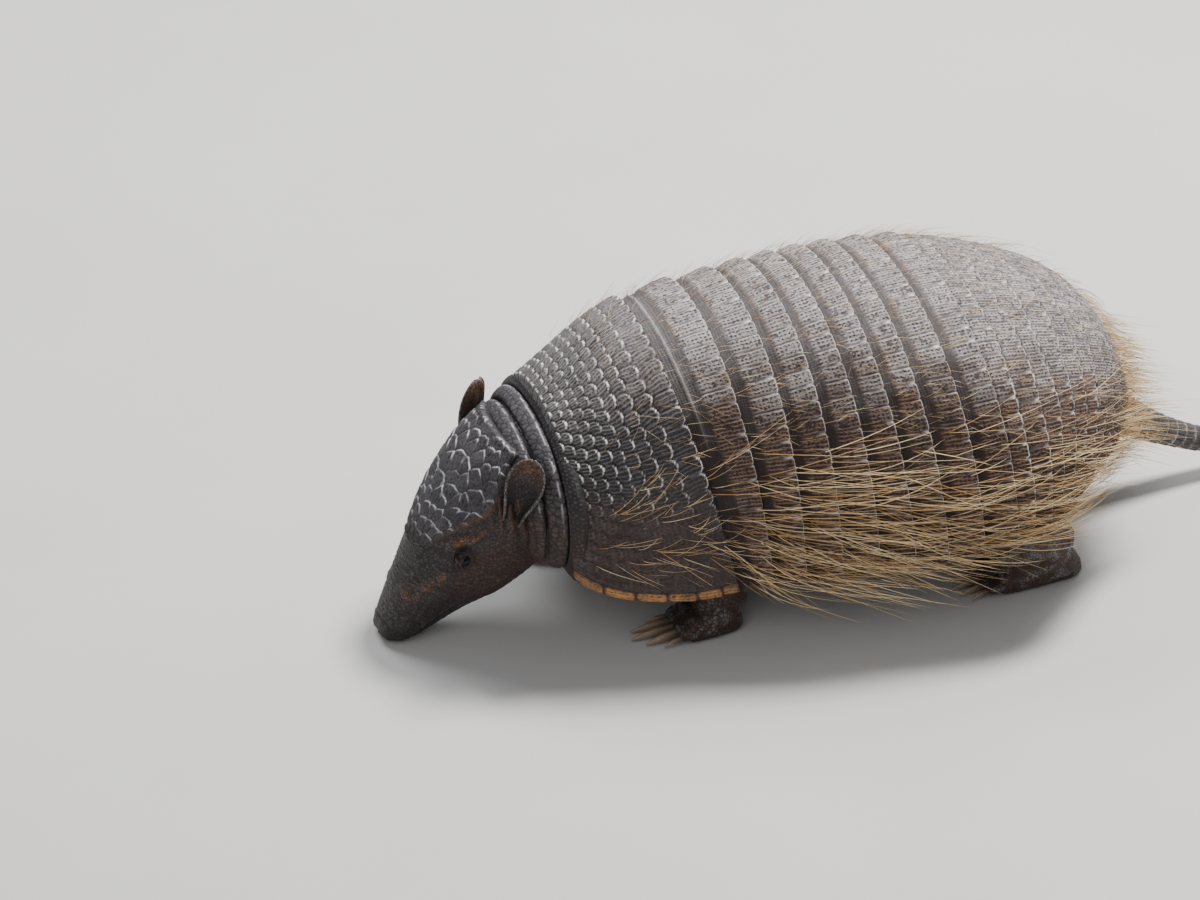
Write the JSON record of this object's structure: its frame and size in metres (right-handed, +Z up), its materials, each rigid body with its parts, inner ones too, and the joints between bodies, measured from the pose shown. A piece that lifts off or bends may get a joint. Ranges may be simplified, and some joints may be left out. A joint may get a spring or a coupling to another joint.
{
  "type": "large hairy armadillo figure",
  "caption": "Life-size still model of a hairy armadillo walking with its head lowered: plated shields, free bands, long flank hair, clawed feet and ringed tail.",
  "frame": {"origin": "on the floor under the middle of the whole figure's box", "axes": "the animal faces -X with its tail along +X, its left side is -Y, and +Z is up from the floor its soles stand on"},
  "size_m": [0.4708, 0.1974, 0.1451],
  "materials": {
    "armour": "dry, pitted bony scutes with pale worn rims",
    "skin": "leathery, finely wrinkled skin",
    "coat": "coarse straw-coloured hair with brown and pale strands",
    "eye": "wet and dark",
    "claw": "smooth horn"
  },
  "bodies": {
    "root": {"band_1": "armour", "band_2": "armour", "band_3": "armour", "band_4": "armour", "band_5": "armour", "band_6": "armour", "band_7": "armour", "band_8": "armour", "coat_left": "coat", "coat_right": "coat", "ear_left": "skin", "ear_right": "skin", "eye_left": "eye", "eye_right": "eye", "fore_claw_left_1": "claw", "fore_claw_left_2": "claw", "fore_claw_left_3": "claw", "fore_claw_left_4": "claw", "fore_claw_left_5": "claw", "fore_claw_right_1": "claw", "fore_claw_right_2": "claw", "fore_claw_right_3": "claw", "fore_claw_right_4": "claw", "fore_claw_right_5": "claw", "fore_foot_left": "skin", "fore_foot_right": "skin", "fore_leg_left": "skin", "fore_leg_right": "skin", "head": "skin", "head_shield": "armour", "hind_claw_left_1": "claw", "hind_claw_left_2": "claw", "hind_claw_left_3": "claw", "hind_claw_left_4": "claw", "hind_claw_left_5": "claw", "hind_claw_right_1": "claw", "hind_claw_right_2": "claw", "hind_claw_right_3": "claw", "hind_claw_right_4": "claw", "hind_claw_right_5": "claw", "hind_foot_left": "skin", "hind_foot_right": "skin", "hind_leg_left": "skin", "hind_leg_right": "skin", "lower_jaw": "skin", "neck": "skin", "nuchal_band_1": "armour", "nuchal_band_2": "armour", "pelvic_shield": "armour", "scapular_shield": "armour", "tail_base": "skin", "tail_tip": "skin", "trunk": "skin"}
  },
  "joints": []
}
